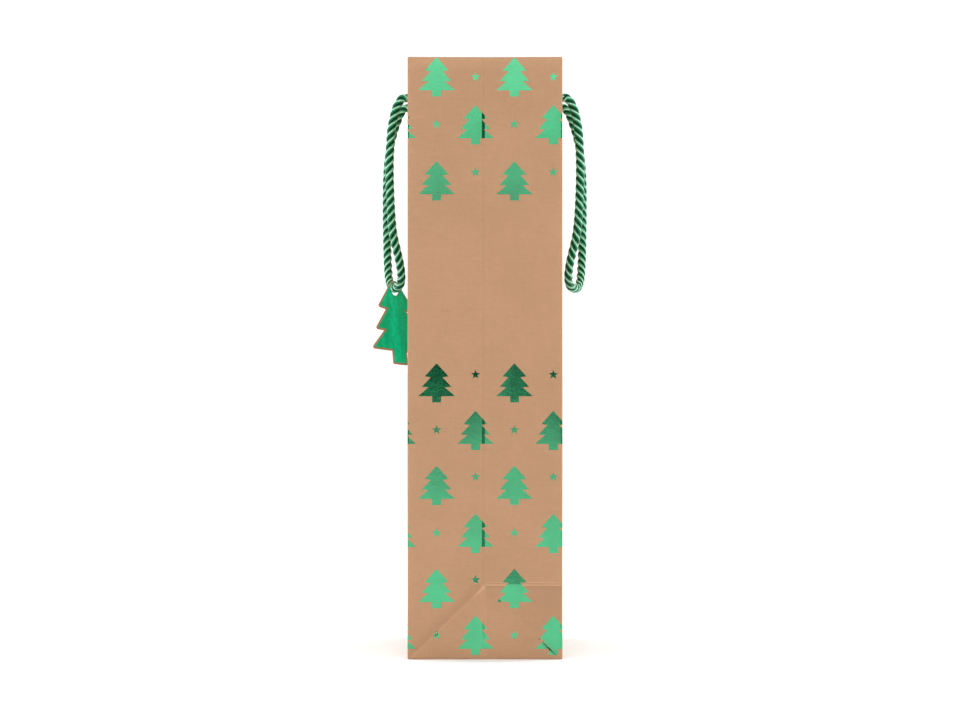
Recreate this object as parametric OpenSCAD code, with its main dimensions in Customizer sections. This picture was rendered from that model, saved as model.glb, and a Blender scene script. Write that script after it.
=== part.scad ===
// Kraft wine gift bag for one bottle: a gusseted paper tube with a turned-in rim, board
// stiffeners under the rim and on the base, two twisted cord handles that are knotted
// inside, and a tree-shaped tag threaded on the front cord. The front faces -Y, the two
// gussets face +X and -X, and the origin is the centre of the face that the bag stands on.

/* [Bag] */
// Width of the front and back panels
bag_w = 120; // [110:1:150]
// Depth of the two gussets
bag_d = 90; // [84:1:110]
// Height from the base to the rim
bag_h = 350; // [340:5:400]
// Thickness of the kraft paper
paper_t = 0.3; // [0.2:0.05:0.4]
// How far the middle of the front panel bows in
front_bow = 10.5; // [10:0.5:14]
// How far each gusset's middle crease is pushed in
gusset_pinch = 1.2; // [0.5:0.1:3]

/* [Rim] */
// Height of the turned-in hem
hem_h = 40; // [36:1:50]
// Thickness of the stiffener boards inside the hem
top_board_t = 1; // [0.6:0.1:1.5]

/* [Base] */
// How far the two base flaps overlap each other
base_overlap = 16; // [8:1:30]
// How far the folded side tucks reach in under the base board
tuck_depth = 38; // [20:1:40]
// Thickness of the board on the bottom
base_board_t = 1.2; // [0.6:0.1:2]
// Width of the glue flap along the side seam
seam_w = 16; // [10:1:20]

/* [Handles] */
// Diameter of the twisted cord
cord_d = 5.3; // [4.8:0.1:5.4]
// Distance between the two cord holes of a panel
hole_spacing = 60; // [56:1:64]
// Distance from the rim down to the cord holes
hole_drop = 21; // [20:1:24]
// Diameter of the punched cord holes
hole_d = 6.4; // [6:0.1:7]
// Diameter of the knots inside the bag
knot_d = 12; // [10:0.5:13]

/* [Tag] */
// Height of the tree printed on the tag
tag_tree_h = 51; // [44:1:52]
// Width of the plain border round that tree
tag_border = 1.1; // [0.8:0.1:1.5]
// Thickness of the tag's card
tag_t = 0.5; // [0.4:0.1:0.6]
// Diameter of the tag's hole
tag_hole_d = 8; // [7.8:0.1:8.2]

/* [Hidden] */

kraft = [0.79, 0.61, 0.47];
kraft_inside = [0.84, 0.68, 0.54];
grey_board = [0.62, 0.58, 0.52];
satin_green = [0.10, 0.45, 0.26];

half_w = bag_w / 2;
half_d = bag_d / 2;
hem_z = bag_h - hem_h;
hole_x = hole_spacing / 2;
hole_z = bag_h - hole_drop;
wall_t = 2 * paper_t + top_board_t;         // panel, board and hem sheet together at the rim
fit_gap = 0.05;                             // keeps the hems and tucks clear of the corners

// The front panel bows between the base fold and the hem, and is flat beside its corners.
bow_low_z = half_d;
bow_high_z = hem_z - 5;
bow_half_w = half_w - 1;
bow_columns = 12;
bow_rows = 14;

side_gap = paper_t + gusset_pinch;          // from the corner to a gusset's pushed-in middle
base_layers = 3 * paper_t;                  // the two base flaps and the tucks
board_gap = 0.9;                            // round the base board

// A cord handle turns about the line through its two holes, just outside the panel.
pivot_out = 3.5;
pivot_gap = 0.5;
tail_l = 12;                                // of cord, hanging below its knot
cord_sides = 10;
route_hole_x = 30;                          // half the hole distance that the route is drawn for

// The cord's route from hole to hole: [across, out from the panel, down from the holes].
cord_route = [
    [30, 3.5, 0], [30, 4.9, 1.3], [30, 6.5, 3.8], [30, 7.9, 7.3], [30, 9, 11.8],
    [30, 10.2, 18], [30, 10.9, 26], [29.5, 11.4, 37], [29, 11.4, 49], [28, 11, 61],
    [26.5, 10.4, 72], [24.5, 9.3, 81.5], [22, 7.4, 90], [19, 5.8, 97.5], [15, 5, 104.5],
    [10, 5.8, 109.6], [5, 7.6, 111.6], [0, 9.6, 112], [-5, 11.2, 111.4], [-10, 12.5, 109],
    [-14.5, 13.5, 104.5], [-18.5, 14.1, 98], [-22, 14.6, 89.5], [-25, 14.9, 79.5], [-27.5, 15.2, 68],
    [-29, 15.3, 55.5], [-30, 15.1, 43], [-30, 14.2, 31.5], [-30, 12.8, 22], [-30, 10.9, 14.5],
    [-30, 9.1, 9.1], [-30, 7.4, 4.6], [-30, 5.4, 1.4], [-30, 3.5, 0]
];
route_low = [0, 9.6, 112];                  // where the tag hangs

// Half of a fir tree of height 1, from its tip down: [half width, height].
tree_half = [
    [0.012, -0.01], [0.304, -0.335], [0.15, -0.357], [0.379, -0.604], [0.205, -0.612],
    [0.47, -0.841], [0.114, -0.845], [0.114, -1]
];
tag_tip = 5.8;                              // from the tag's hole up to the printed tree's tip
tag_turn = [-4, -9, 54];                    // how the tag hangs, turned from facing +X
tag_drop = 0.3;                             // from the cord's middle down to the hole's

function unit(v) = v / norm(v);
function mirrored(half) = concat(half, [for (i = [len(half) - 1:-1:0]) [-half[i].x, half[i].y]]);
function route_point(p) = [p.x * hole_x / route_hole_x, -half_d - p.y, hole_z - p.z];

// How far the front panel lies behind its own plane.
function bow(x, z) =
    abs(x) >= bow_half_w || z <= bow_low_z || z >= bow_high_z ? 0
    : front_bow * (1 - pow(x / bow_half_w, 2)) * sin(180 * (z - bow_low_z) / (bow_high_z - bow_low_z));

function quad(a, b, c, d) = [[a, b, c], [a, c, d]];

module to_back() {
    rotate([0, 0, 180])
        children();
}

// A closed skin between an outer and an inner grid of points, given row by row.
module skin_between(outer, inner) {
    rows = len(outer);
    columns = len(outer[0]);
    function outside(r, c) = r * columns + c;
    function inside(r, c) = (rows + r) * columns + c;
    faces = [
        for (r = [0:rows - 2], c = [0:columns - 2]) each concat(
            quad(outside(r, c), outside(r + 1, c), outside(r + 1, c + 1), outside(r, c + 1)),
            quad(inside(r, c), inside(r, c + 1), inside(r + 1, c + 1), inside(r + 1, c))),
        for (r = [0:rows - 2]) each concat(
            quad(outside(r, 0), inside(r, 0), inside(r + 1, 0), outside(r + 1, 0)),
            quad(outside(r, columns - 1), outside(r + 1, columns - 1),
                inside(r + 1, columns - 1), inside(r, columns - 1))),
        for (c = [0:columns - 2]) each concat(
            quad(outside(0, c), outside(0, c + 1), inside(0, c + 1), inside(0, c)),
            quad(outside(rows - 1, c), inside(rows - 1, c), inside(rows - 1, c + 1),
                outside(rows - 1, c + 1)))
    ];
    polyhedron([for (row = concat(outer, inner)) each row], faces);
}

// The two cord holes through the wall that faces -Y.
module cord_holes() {
    for (x = [-hole_x, hole_x])
        translate([x, -half_d - 1, hole_z])
            rotate([-90, 0, 0])
                cylinder(d = hole_d, h = wall_t + 3, $fn = 40);
}

module front_panel() {
    bow_steps = [for (i = [0:bow_rows]) bow_low_z + (bow_high_z - bow_low_z) * i / bow_rows];
    heights = concat([0], bow_steps, [bag_h]);
    bow_across = [for (i = [0:bow_columns]) bow_half_w * (2 * i / bow_columns - 1)];
    across = concat([-half_w], bow_across, [half_w]);
    color(kraft)
        difference() {
            skin_between(
                [for (z = heights) [for (x = across) [x, bow(x, z) - half_d, z]]],
                [for (z = heights) [for (x = across) [x, bow(x, z) - half_d + paper_t, z]]]);
            cord_holes();
        }
}

module back_panel() {
    color(kraft)
        to_back()
            difference() {
                translate([-half_w, -half_d, 0])
                    cube([bag_w, paper_t, bag_h]);
                cord_holes();
            }
}

// A strip of paper along the +X gusset, a distance inside it, between two heights.
module gusset_strip(inset, half_length, low_z, high_z) {
    middle = half_w - gusset_pinch - inset;
    end = middle + gusset_pinch * half_length / half_d;
    translate([0, 0, low_z])
        linear_extrude(high_z - low_z)
            polygon([
                [end, -half_length], [middle, 0], [end, half_length],
                [end - paper_t, half_length], [middle - paper_t, 0], [end - paper_t, -half_length]
            ]);
}

module right_gusset() {
    color(kraft)
        gusset_strip(0, half_d - paper_t, 0, bag_h);
}

module left_gusset() {
    color(kraft)
        to_back()
            gusset_strip(0, half_d - paper_t, 0, bag_h);
}

// The seam's glue flap, inside the left gusset along its back edge.
module seam_flap() {
    color(kraft_inside)
        to_back()
            intersection() {
                gusset_strip(paper_t, half_d - paper_t, base_layers + base_board_t, hem_z);
                translate([half_w / 2, -half_d, 0])
                    cube([half_w, seam_w, bag_h]);
            }
}

// The turned-in rim of the front: a strip over the board's top edge and the sheet behind it.
module panel_hem() {
    half_hem = half_w - 2 * paper_t;
    color(kraft_inside)
        difference() {
            union() {
                translate([-half_hem, -half_d + paper_t + top_board_t, hem_z])
                    cube([2 * half_hem, paper_t, hem_h]);
                translate([-half_hem, -half_d + paper_t, bag_h - paper_t])
                    cube([2 * half_hem, top_board_t, paper_t]);
            }
            cord_holes();
        }
}

module front_hem() {
    panel_hem();
}

module back_hem() {
    to_back()
        panel_hem();
}

module right_hem() {
    color(kraft_inside)
        gusset_strip(paper_t, half_d - wall_t - fit_gap, hem_z, bag_h);
}

module left_hem() {
    to_back()
        right_hem();
}

module front_top_board() {
    color(grey_board)
        difference() {
            translate([-half_w + 1.5, -half_d + paper_t, hem_z + 1])
                cube([bag_w - 3, top_board_t, hem_h - 1 - paper_t]);
            cord_holes();
        }
}

module back_top_board() {
    to_back()
        front_top_board();
}

// A base flap, folded in from the back edge onto one layer of the base.
module base_flap(layer) {
    reach = half_d - paper_t + base_overlap / 2;
    color(kraft)
        translate([-half_w + side_gap, half_d - paper_t - reach, layer * paper_t])
            cube([bag_w - 2 * side_gap, reach, paper_t]);
}

module back_base_flap() {
    base_flap(0);
}

module front_base_flap() {
    to_back()
        base_flap(1);
}

// The folded-in end of a gusset: its long edge along the gusset, its sides at 45 degrees.
module right_base_tuck() {
    edge_x = half_w - side_gap - fit_gap;
    edge_y = half_d - paper_t - fit_gap;
    color(kraft)
        translate([0, 0, 2 * paper_t])
            linear_extrude(paper_t)
                polygon([
                    [edge_x, -edge_y], [edge_x, edge_y],
                    [edge_x - tuck_depth, edge_y - tuck_depth], [edge_x - tuck_depth, -edge_y + tuck_depth]
                ]);
}

module left_base_tuck() {
    to_back()
        right_base_tuck();
}

module base_board() {
    size_x = bag_w - 2 * (side_gap + board_gap);
    size_y = bag_d - 2 * (paper_t + board_gap);
    color(grey_board)
        translate([-size_x / 2, -size_y / 2, base_layers])
            cube([size_x, size_y, base_board_t]);
}

// The end of a cord: its stretch through the wall, the knot behind the wall, and the tail.
module knot(side) {
    stub_start = half_d + pivot_out - cord_d / 2 - pivot_gap;
    knot_y = half_d - wall_t - knot_d / 2;
    color(satin_green)
        translate([side * hole_x, 0, hole_z]) {
            translate([0, -stub_start, 0])
                rotate([-90, 0, 0])
                    cylinder(d = cord_d, h = stub_start - knot_y, $fn = 40);
            translate([0, -knot_y, 0])
                sphere(d = knot_d, $fn = 40);
            translate([0, -knot_y, -knot_d / 2 - tail_l])
                cylinder(d = cord_d, h = knot_d / 2 + tail_l, $fn = 40);
        }
}

module front_left_knot() {
    knot(-1);
}

module front_right_knot() {
    knot(1);
}

module back_left_knot() {
    to_back()
        knot(1);
}

module back_right_knot() {
    to_back()
        knot(-1);
}

// A round tube along a line of points that never runs along Y.
module tube(line, diameter) {
    n = cord_sides;
    last = len(line) - 1;
    points = [
        for (i = [0:last])
            let (along = unit(line[min(i + 1, last)] - line[max(i - 1, 0)]),
                 across = unit(cross(along, [0, 1, 0])),
                 over = cross(along, across))
            for (k = [0:n - 1])
                line[i] + diameter / 2 * (cos(360 * k / n) * across + sin(360 * k / n) * over)
    ];
    walls = [
        for (i = [0:last - 1], k = [0:n - 1])
            each quad(i * n + k, (i + 1) * n + k, (i + 1) * n + (k + 1) % n, i * n + (k + 1) % n)
    ];
    ends = [[for (k = [0:n - 1]) k], [for (k = [n - 1:-1:0]) last * n + k]];
    polyhedron(points, concat(walls, ends));
}

// The free cord of one handle, between its two pivots.
module front_cord() {
    color(satin_green)
        tube([for (p = cord_route) route_point(p)], cord_d);
}

module back_cord() {
    mirror([0, 1, 0])
        front_cord();
}

// The card of the tag, about its hole: the printed tree with a border, and a round head in
// place of its tip, which the tree's first two edges touch.
module tag_outline() {
    edge = tag_tree_h * (tree_half[1] - tree_half[0]);
    to_hole = [0, -tag_tip] - tag_tree_h * tree_half[0];
    head_r = abs(cross(edge, to_hole)) / norm(edge) + tag_border;
    shoulder = head_r * edge.x / norm(edge);
    intersection() {
        translate([0, tag_tip])
            offset(r = tag_border, $fn = 24)
                polygon(mirrored(tag_tree_h * tree_half));
        union() {
            circle(r = head_r, $fn = 60);
            translate([-tag_tree_h, shoulder - 2 * tag_tree_h])
                square(2 * tag_tree_h);
        }
    }
}

// The tag hangs on the cord, which runs through its hole aslant and just clear of it.
module tag() {
    color(kraft)
        translate(route_point(route_low))
            rotate(tag_turn)
                rotate([90, 0, 90])
                    translate([0, -tag_drop, -tag_t / 2])
                        difference() {
                            linear_extrude(tag_t)
                                tag_outline();
                            translate([0, 0, -1])
                                cylinder(d = tag_hole_d, h = tag_t + 2, $fn = 40);
                        }
}

front_panel();
back_panel();
left_gusset();
right_gusset();
seam_flap();
front_hem();
back_hem();
left_hem();
right_hem();
front_top_board();
back_top_board();
front_base_flap();
back_base_flap();
left_base_tuck();
right_base_tuck();
base_board();
front_left_knot();
front_right_knot();
back_left_knot();
back_right_knot();
front_cord();
back_cord();
tag();
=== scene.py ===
"""The looks of the kraft wine gift bag: folded paper with foil print, twisted cords and a tag.

Shapes are worked out in millimetres in the model's own frame and turned into metres when a
mesh is made. The paper is one sheet: a place on it is (s, z), where s runs round the bag from
the seam at its back left corner, over the left gusset, the front, the right gusset and the
back, and z is the height.
"""
import math

import bpy
import numpy as np
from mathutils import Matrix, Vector, geometry, noise


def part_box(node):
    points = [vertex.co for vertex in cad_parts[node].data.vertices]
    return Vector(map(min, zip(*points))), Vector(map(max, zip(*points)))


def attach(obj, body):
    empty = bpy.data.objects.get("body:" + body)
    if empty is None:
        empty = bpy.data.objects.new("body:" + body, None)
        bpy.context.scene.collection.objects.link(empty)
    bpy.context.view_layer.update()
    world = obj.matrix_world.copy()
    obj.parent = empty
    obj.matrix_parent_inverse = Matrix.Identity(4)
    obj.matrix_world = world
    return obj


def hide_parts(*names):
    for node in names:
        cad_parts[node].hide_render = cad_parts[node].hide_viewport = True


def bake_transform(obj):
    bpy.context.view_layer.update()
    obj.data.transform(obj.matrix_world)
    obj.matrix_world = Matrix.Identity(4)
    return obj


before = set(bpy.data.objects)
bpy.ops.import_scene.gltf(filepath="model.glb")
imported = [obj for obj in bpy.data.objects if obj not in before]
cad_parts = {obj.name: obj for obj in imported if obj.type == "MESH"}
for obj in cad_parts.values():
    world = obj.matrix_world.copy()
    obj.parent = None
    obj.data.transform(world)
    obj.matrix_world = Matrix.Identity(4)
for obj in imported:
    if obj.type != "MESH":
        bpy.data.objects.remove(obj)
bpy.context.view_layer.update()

# ---------------------------------------------------------------- sizes from the frame, in mm
MM = 0.001
panel_low, panel_high = (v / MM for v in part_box("back_panel"))
BAG_W = panel_high.x - panel_low.x
BAG_H = panel_high.z
BAG_D = 2 * panel_high.y
PAPER_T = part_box("back_base_flap")[1].z / MM
HEM_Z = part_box("front_hem")[0].z / MM
WALL_T = BAG_D / 2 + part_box("front_hem")[1].y / MM
BOARD_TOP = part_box("base_board")[1].z / MM
HALF_W, HALF_D = BAG_W / 2, BAG_D / 2
FRONT_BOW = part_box("front_panel")[1].y / MM + HALF_D - PAPER_T
GUSSET_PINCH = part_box("right_gusset")[1].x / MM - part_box("right_gusset")[0].x / MM - PAPER_T
knot_low, knot_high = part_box("front_right_knot")
HOLE_X = (knot_low.x + knot_high.x) / 2 / MM
HOLE_Z = knot_high.z / MM - (knot_high.x - knot_low.x) / 2 / MM
HOLE_D = 6.4                                # a little wider than the cord
CORD_D = 5.3

# The sheet's stations: where each panel starts, going round from the seam.
PANELS = [BAG_D, BAG_W, BAG_D, BAG_W]       # left gusset, front, right gusset, back
CORNERS = [0, BAG_D, BAG_D + BAG_W, 2 * BAG_D + BAG_W, 2 * (BAG_D + BAG_W)]
SHEET_W = CORNERS[-1]
LEFT_MIDDLE, FRONT_MIDDLE, RIGHT_MIDDLE, BACK_MIDDLE = (
    (a + b) / 2 for a, b in zip(CORNERS, CORNERS[1:]))
FOLD_R = 0.8                                # of the upright corner folds
BASE_FOLD_Z = HALF_D - 1.8                  # the crease that lets the base fold flat
BACK_BOW = 2.5                              # how far the back panel is pushed in at its middle
LIP = 0.8                                   # radius of the fold from the walls into the base
STRIP_FRONT, STRIP_BACK = -1.9, 0.1         # of the gusset's double middle crease, from its middle
STRIP_STEP = 0.25                           # how far that strip slopes in
LEVEL_RISE = 0.5                            # how far the level crease stands out


def mark_points(obj, name, values):
    """Stores a number or a vector for each point of the mesh, which its material reads."""
    kind, key = ("FLOAT_VECTOR", "vector") if np.ndim(values) == 2 else ("FLOAT", "value")
    attribute = obj.data.attributes.new(name, kind, "POINT")
    attribute.data.foreach_set(key, np.ravel(values))


def mesh_object(name, points, faces, material, smooth=True, sharp=None):
    """A mesh object from points in mm, shaded smooth except across edges sharper than sharp."""
    mesh = bpy.data.meshes.new(name)
    mesh.from_pydata([tuple(p) for p in np.asarray(points, float) * MM], [], faces)
    mesh.validate()
    mesh.polygons.foreach_set("use_smooth", [smooth] * len(mesh.polygons))
    if sharp:
        mesh.set_sharp_from_angle(angle=math.radians(sharp))
    mesh.materials.append(material)
    obj = bpy.data.objects.new(name, mesh)
    bpy.context.scene.collection.objects.link(obj)
    return obj


# ---------------------------------------------------------------- camera, lights and stage
def make_camera():
    """Level, square to the right gusset, from a metre and a half."""
    distance, view_width = 1500, 557.4      # mm; what the frame spans at the near gusset
    aside, height = -2.9, 173.9
    data = bpy.data.cameras.new("camera")
    data.sensor_width = 36
    data.lens = data.sensor_width * distance / view_width
    data.clip_end = 100
    camera = bpy.data.objects.new("camera", data)
    camera.location = ((HALF_W + distance) * MM, aside * MM, height * MM)
    camera.rotation_euler = (math.pi / 2, 0, math.pi / 2)
    bpy.context.scene.collection.objects.link(camera)
    bpy.context.scene.camera = camera


def area_light(name, place, target, size, power):
    """A rectangular light, with its place, target and size in metres."""
    data = bpy.data.lights.new(name, "AREA")
    data.shape = "RECTANGLE"
    data.size, data.size_y = size
    data.energy = power
    light = bpy.data.objects.new(name, data)
    light.location = place
    light.rotation_euler = (Vector(target) - Vector(place)).to_track_quat("-Z", "Y").to_euler()
    bpy.context.scene.collection.objects.link(light)


def plain_board(name, corners, colour):
    """A flat board of the studio, which isn't part of the object; corners in mm."""
    material = bpy.data.materials.new(name)
    material.use_nodes = True
    shader = material.node_tree.nodes["Principled BSDF"]
    shader.inputs["Base Color"].default_value = (*colour, 1)
    shader.inputs["Roughness"].default_value = 1.0
    shader.inputs["Specular IOR Level"].default_value = 0.0
    board = mesh_object(name, corners, [(0, 1, 2, 3)], material, smooth=False)
    return board


def flag(name, corners, grey, shades=False):
    """A grey board that the camera doesn't see. It gives shiny surfaces something to mirror, or,
    if it shades, only keeps some of the white room's light off the object."""
    board = plain_board(name, corners, (grey, grey, grey))
    board.visible_camera = board.visible_shadow = False
    board.visible_diffuse = shades
    board.visible_glossy = not shades


def upright(start, end, low, high):
    """The corners of an upright board between two places on the floor."""
    (x0, y0), (x1, y1) = start, end
    return [(x0, y0, low), (x1, y1, low), (x1, y1, high), (x0, y0, high)]


ROOM_LIGHT = 1.13
LIGHT_TARGET = (0, 0, 0.2)                  # m, like the lights' places and sizes
LIGHTS = [                                  # name, place, size, power in watts
    ("key", (1.6, -0.8, 0.95), (0.4, 0.4), 3),
    ("fill", (1.5, 1.0, 0.95), (0.4, 0.4), 1.5),
    ("strip", (1.5, 0, 1.3), (3.2, 0.11), 10),
    ("top_box", (1.75, 0, 0.8), (1.4, 0.6), 2),
    ("left_rim", (-0.35, -1.2, 0.75), (0.25, 0.9), 8),
    ("right_rim", (-0.35, 1.2, 0.75), (0.25, 0.9), 8)]
FLOOR_REACH = 30000
FLOOR_GREY, FLAG_GREY, DARK_FLAG_GREY = 0.9, 0.16, 0.008
FLAG_FEET, FLAG_TOP = 10, 1100              # mm; of the flags at the camera's left and right
SHADE_FEET, SHADE_TOP = 250, 1300


def make_room():
    """An evenly white room."""
    scene = bpy.context.scene
    scene.view_settings.view_transform = "Standard"
    world = bpy.data.worlds.new("studio")
    world.use_nodes = True
    background = world.node_tree.nodes["Background"]
    background.inputs["Color"].default_value = (1, 1, 1, 1)
    background.inputs["Strength"].default_value = ROOM_LIGHT
    scene.world = world


def make_flags():
    """Grey boards round the camera: the foil mirrors the flags, and the shades dim the room."""
    flag("camera_flag_left", upright((1750, -130), (1750, -40), 92, 326), FLAG_GREY)
    flag("camera_flag_right", upright((1750, -40), (1750, 340), 92, 326), DARK_FLAG_GREY)
    for word, side in (("left", -1), ("right", 1)):
        near, far = ((1740, side * 350), (1300, side * 1200)), ((1300, side * 1200), (300, side * 1700))
        flag(f"{word}_flag_near", upright(*near, FLAG_FEET, FLAG_TOP), FLAG_GREY)
        flag(f"{word}_flag_far", upright(*far, FLAG_FEET, FLAG_TOP), FLAG_GREY)
        flag(f"{word}_shade_near", upright(*near, SHADE_FEET, SHADE_TOP), FLAG_GREY, shades=True)
        flag(f"{word}_shade_far", upright(*far, SHADE_FEET, SHADE_TOP), FLAG_GREY, shades=True)
    # What the narrow strip down the gusset's middle crease mirrors below its upright flag.
    flag("strip_flag", [(210, 37, 0.5), (210, 54, 0.5), (1710, 590, 0.5), (1710, 430, 0.5)], FLAG_GREY)


def make_stage():
    """A white room with a pale floor, soft lights, and grey flags round the camera."""
    make_room()
    for name, place, size, power in LIGHTS:
        area_light(name, place, LIGHT_TARGET, size, power)
    corners = [(x * FLOOR_REACH, y * FLOOR_REACH, 0) for x, y in ((-1, -1), (1, -1), (1, 1), (-1, 1))]
    plain_board("floor", corners, (FLOOR_GREY, FLOOR_GREY, FLOOR_GREY))
    make_flags()


# ---------------------------------------------------------------- materials
class Nodes:
    """Short calls for building one material's node tree."""

    def __init__(self, name):
        self.material = bpy.data.materials.new(name)
        self.material.use_nodes = True
        self.tree = self.material.node_tree
        self.shader = self.tree.nodes["Principled BSDF"]

    def feed(self, socket, value):
        """Links another node's output to a socket, or sets the socket's own value."""
        if isinstance(value, bpy.types.NodeSocket):
            self.tree.links.new(value, socket)
        elif socket.type == "RGBA":
            socket.default_value = (*value, 1)
        else:
            socket.default_value = value

    def fill(self, node, inputs):
        """Feeds inputs by name, with underscores for the names' spaces."""
        for name, value in inputs.items():
            self.feed(node.inputs[name.replace("_", " ")], value)
        return node

    def add(self, kind, **inputs):
        return self.fill(self.tree.nodes.new(kind), inputs)

    def set(self, **inputs):
        self.fill(self.shader, inputs)

    def place(self, scale=(1, 1, 1)):
        """Object coordinates, stretched."""
        own = self.add("ShaderNodeTexCoord").outputs["Object"]
        return self.add("ShaderNodeMapping", Vector=own, Scale=scale).outputs["Vector"]

    def noise(self, where, scale, detail=4, roughness=0.6):
        node = self.add(
            "ShaderNodeTexNoise", Vector=where, Scale=scale, Detail=detail, Roughness=roughness)
        return node.outputs["Fac"]

    def ramp(self, value, stops):
        """Colours or greys between positions: [(position, (r, g, b)), ...]."""
        node = self.add("ShaderNodeValToRGB", Fac=value)
        elements = node.color_ramp.elements
        while len(elements) < len(stops):
            elements.new(0.5)
        for element, (position, colour) in zip(elements, stops):
            element.position = position
            element.color = (*colour, 1) if isinstance(colour, tuple) else (colour,) * 3 + (1,)
        return node.outputs["Color"]

    def mix(self, kind, amount, a, b):
        node = self.tree.nodes.new("ShaderNodeMix")
        node.data_type = "RGBA"
        node.blend_type = kind
        self.feed(node.inputs["Factor"], amount)
        for socket, value in zip([s for s in node.inputs if s.type == "RGBA"], (a, b)):
            self.feed(socket, value)
        return [s for s in node.outputs if s.type == "RGBA"][0]

    def math(self, operation, a, b=0.0):
        node = self.tree.nodes.new("ShaderNodeMath")
        node.operation = operation
        for socket, value in zip(node.inputs, (a, b)):
            self.feed(socket, value)
        return node.outputs[0]

    def attribute(self, name, kind="Fac"):
        """What mark_points stored: Fac for a number, Vector for a vector."""
        node = self.tree.nodes.new("ShaderNodeAttribute")
        node.attribute_name = name
        return node.outputs[kind]

    def bump(self, height, distance, strength=1.0):
        node = self.add("ShaderNodeBump", Height=height, Distance=distance, Strength=strength)
        self.set(Normal=node.outputs["Normal"])


def kraft_material(name, base, creased=False):
    """Brown kraft paper: soft clouds, fine fibres and darker specks; creased paper adds pale folds,
    partly wear and partly painted highlight, and painted shade beside them.
    """
    n = Nodes(name)
    base = np.array(base)
    clouds = n.noise(n.place(), 28, 5)
    colour = n.ramp(clouds, [(0.3, tuple(base * 0.96)), (0.7, tuple(base * 1.04))])
    ribs = n.noise(n.place((0.06, 0.06, 1)), 1500, 2)
    upright_fibres = n.noise(n.place((1, 1, 0.25)), 900, 2)
    level_fibres = n.noise(n.place((0.3, 0.3, 1)), 700, 2)
    fibres = n.math("ADD", upright_fibres, level_fibres)
    fibres = n.math("MULTIPLY", n.math("ADD", fibres, ribs), 1 / 3)
    colour = n.mix("MULTIPLY", 1.0, colour, n.ramp(fibres, [(0.35, 0.94), (0.65, 1.05)]))
    specks = n.noise(n.place(), 620, 1)
    colour = n.mix("MULTIPLY", 1.0, colour, n.ramp(specks, [(0.22, 0.88), (0.30, 1.0)]))
    if creased:
        # paler folds, part wear and part painted highlight; painted shade beside them
        for mark, share, tint in (("crease_wear_and_highlight", 0.9, 1.7), ("painted_crease_shade", 0.8, 0.74)):
            wear_and_shade = n.math("MULTIPLY", n.attribute(mark), n.ramp(clouds, [(0.2, 0.7), (0.8, 1.0)]))
            colour = n.mix("MIX", n.math("MULTIPLY", wear_and_shade, share), colour, tuple(base * tint))
    n.set(Base_Color=colour, Roughness=0.82, Specular_IOR_Level=0.28)
    n.bump(fibres, 0.00006, 0.5)
    return n.material


def foil_material():
    """Hot-stamped green foil: a soft mirror that shows the paper's grain, under clear lacquer."""
    n = Nodes("green_foil")
    tone = n.noise(n.place(), 60, 3)
    grain = n.noise(n.place((1, 1, 1.6)), 900, 2)
    n.set(
        Base_Color=n.ramp(tone, [(0.3, (0.005, 0.33, 0.117)), (0.7, (0.010, 0.41, 0.156))]),
        Metallic=1.0, Roughness=n.ramp(grain, [(0.3, 0.09), (0.7, 0.15)]),
        Coat_Weight=1.0, Coat_Roughness=0.1, Coat_IOR=1.76)
    n.bump(n.math("ADD", grain, n.math("MULTIPLY", n.noise(n.place(), 130, 2), 1.6)), 0.00004, 0.5)
    return n.material


def tag_foil_material():
    """The satin green foil of the gift tag, with a painted reflection: lighter and darker streaks from
    top to bottom.
    """
    n = Nodes("tag_foil")
    reflection_streaks = n.noise(n.place((1, 1, 0.25)), 90, 3)
    mottle = n.noise(n.place(), 420, 3)
    # painted reflection: the streaks stand in for the satin's uneven mirroring
    colour = n.ramp(reflection_streaks, [(0.36, (0.001, 0.70, 0.34)), (0.6, (0.002, 1.0, 0.58))])
    colour = n.mix("MULTIPLY", 1.0, colour, n.ramp(mottle, [(0.3, 0.86), (0.7, 1.1)]))
    n.set(Base_Color=colour, Metallic=0.15, Roughness=0.4, Specular_IOR_Level=0.2)
    n.bump(mottle, 0.00005, 0.4)
    return n.material


def board_material():
    """Raw greyboard: pulp mottling and short fibres."""
    n = Nodes("greyboard")
    colour = n.ramp(n.noise(n.place(), 55, 6), [(0.3, (0.33, 0.29, 0.23)), (0.7, (0.47, 0.42, 0.34))])
    fibres = n.noise(n.place((1, 0.3, 1)), 800, 3)
    colour = n.mix("MULTIPLY", 1.0, colour, n.ramp(fibres, [(0.3, 0.85), (0.7, 1.1)]))
    n.set(Base_Color=colour, Roughness=0.9)
    n.bump(fibres, 0.0001, 0.6)
    return n.material


def satin_material():
    """Green satin thread: fine fibres wound along each strand, shiny, with a painted highlight along
    each strand's crown and painted shade in the grooves.
    """
    n = Nodes("green_satin")
    fibres = n.noise(n.attribute("yarn", "Vector"), 1.0, 2)
    colour = n.ramp(fibres, [(0.3, (0.006, 0.130, 0.048)), (0.7, (0.016, 0.250, 0.100))])
    # painted shade: near black where each strand turns into the grooves between strands
    groove_shade = n.math("MULTIPLY", n.attribute("groove_shade"), 0.93)
    colour = n.mix("MIX", groove_shade, colour, (0.0005, 0.007, 0.003))
    # painted highlight: a pale mint line along each strand's crown
    crown_highlight = n.math("MULTIPLY", n.attribute("crown_highlight"), 0.9)
    colour = n.mix("MIX", crown_highlight, colour, (0.56, 1.0, 0.74))
    n.set(
        Base_Color=colour, Roughness=0.3, IOR=1.5, Specular_IOR_Level=0.35,
        Specular_Tint=(0.40, 1.0, 0.68))
    n.bump(fibres, 0.0001, 0.15)
    return n.material


# ---------------------------------------------------------------- the paper's surface
def panel_of(s):
    """Which panel each station lies on, and how far along it."""
    index = np.clip(np.searchsorted(CORNERS, s, side="right") - 1, 0, 3)
    return index, s - np.array(CORNERS)[index]


HEADINGS = np.array([(0, -1), (1, 0), (0, 1), (-1, 0)], float)      # the way each panel runs
INWARD = np.array([(1, 0), (0, 1), (-1, 0), (0, -1)], float)


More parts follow.
